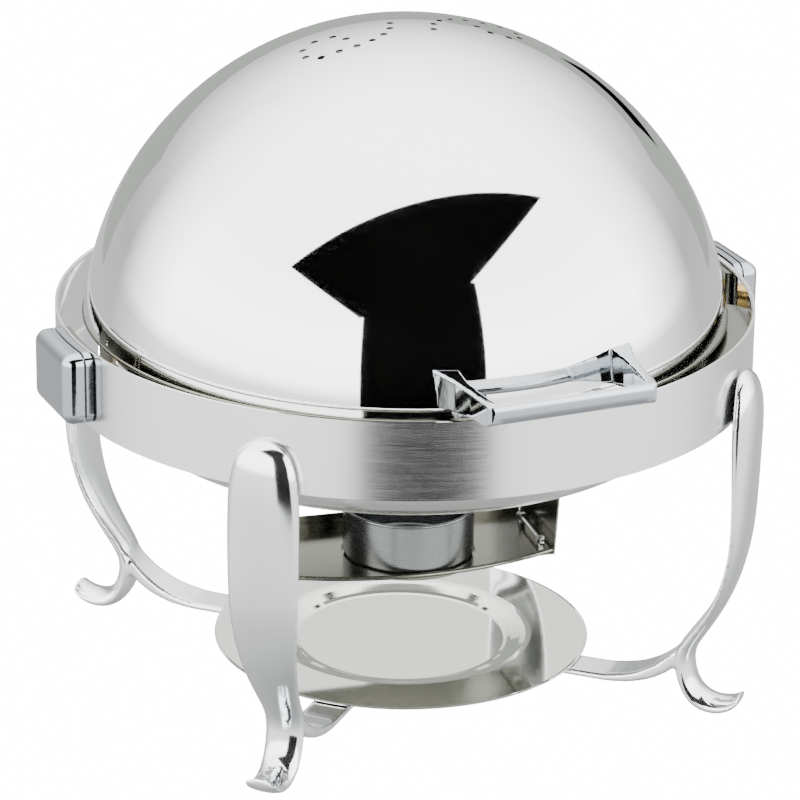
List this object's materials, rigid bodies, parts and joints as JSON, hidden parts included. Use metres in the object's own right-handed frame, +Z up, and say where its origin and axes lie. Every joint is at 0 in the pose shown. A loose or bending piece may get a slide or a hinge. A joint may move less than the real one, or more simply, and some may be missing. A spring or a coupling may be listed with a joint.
{
  "type": "chafing dish",
  "caption": "Round roll-top chafing dish: spherical cover on side pivots, band frame on cast legs, food pan over water pan, fuel cup on a hanging shelf, and a drip plate.",
  "frame": {"origin": "centre of the footprint, on the floor; the upright axis of the band, pans and cover stands 14 mm behind it, at y = 0.014", "axes": "+Z up, -Y towards the handle, +X to the right of someone facing the handle"},
  "size_m": [0.512, 0.5029, 0.4595],
  "materials": {
    "cast_chrome": "bright chrome plate on cast metal",
    "cover_mirror": "mirror-polished stainless steel",
    "band_satin": "brushed around the band",
    "plate_mirror": "mirror-polished stainless steel",
    "cup_brushed": "brushed around",
    "pan_satin": "satin",
    "spacer_brass": "plain turned",
    "sheet_polished": "polished sheet",
    "fastener_steel": "bright"
  },
  "bodies": {
    "frame": {"ring_band": "band_satin", "pan_frame": "sheet_polished", "leg_front_left": "cast_chrome", "leg_front_right": "cast_chrome", "leg_back_left": "cast_chrome", "leg_back_right": "cast_chrome", "leg_screws": "fastener_steel", "water_pan": "pan_satin", "water_pan_screws": "fastener_steel", "pivot_cap_left": "cast_chrome", "pivot_cap_right": "cast_chrome", "pivot_plate_left": "sheet_polished", "pivot_plate_right": "sheet_polished", "pivot_shaft_left": "fastener_steel", "pivot_shaft_right": "fastener_steel", "pivot_spacer_left": "spacer_brass", "pivot_spacer_right": "spacer_brass", "pivot_nut_left": "fastener_steel", "pivot_nut_right": "fastener_steel", "cap_screws": "fastener_steel", "burner_tray": "sheet_polished", "tray_hanger_left": "sheet_polished", "tray_hanger_right": "sheet_polished", "tray_rod_left": "fastener_steel", "tray_rod_right": "fastener_steel", "tray_nuts": "fastener_steel", "hanger_rivets": "fastener_steel"},
    "cover": {"dome_shell": "cover_mirror", "dome_hem": "sheet_polished", "handle": "cast_chrome", "handle_screws": "fastener_steel", "hinge_arm_left": "sheet_polished", "hinge_arm_right": "sheet_polished", "hinge_rivets": "fastener_steel"},
    "food_pan": {"food_pan": "pan_satin"},
    "fuel_cup": {"burner_cup": "cup_brushed"},
    "drip_plate": {"drip_plate": "plate_mirror"}
  },
  "joints": [
    {"name": "cover_roll", "type": "hinge", "parent": "frame", "child": "cover", "pos_m": [0, 0.014, 0.24], "axis": [-1, 0, 0], "range_deg": [0, 90]},
    {"name": "food_pan_lift", "type": "slide", "parent": "frame", "child": "food_pan", "axis": [0, 0, 1], "range_m": [0, 0.04]},
    {"name": "fuel_cup_lift", "type": "slide", "parent": "frame", "child": "fuel_cup", "axis": [0, 0, 1], "range_m": [0, 0.05]},
    {"name": "drip_plate_lift", "type": "slide", "parent": "frame", "child": "drip_plate", "axis": [0, 0, 1], "range_m": [0, 0.003]}
  ]
}
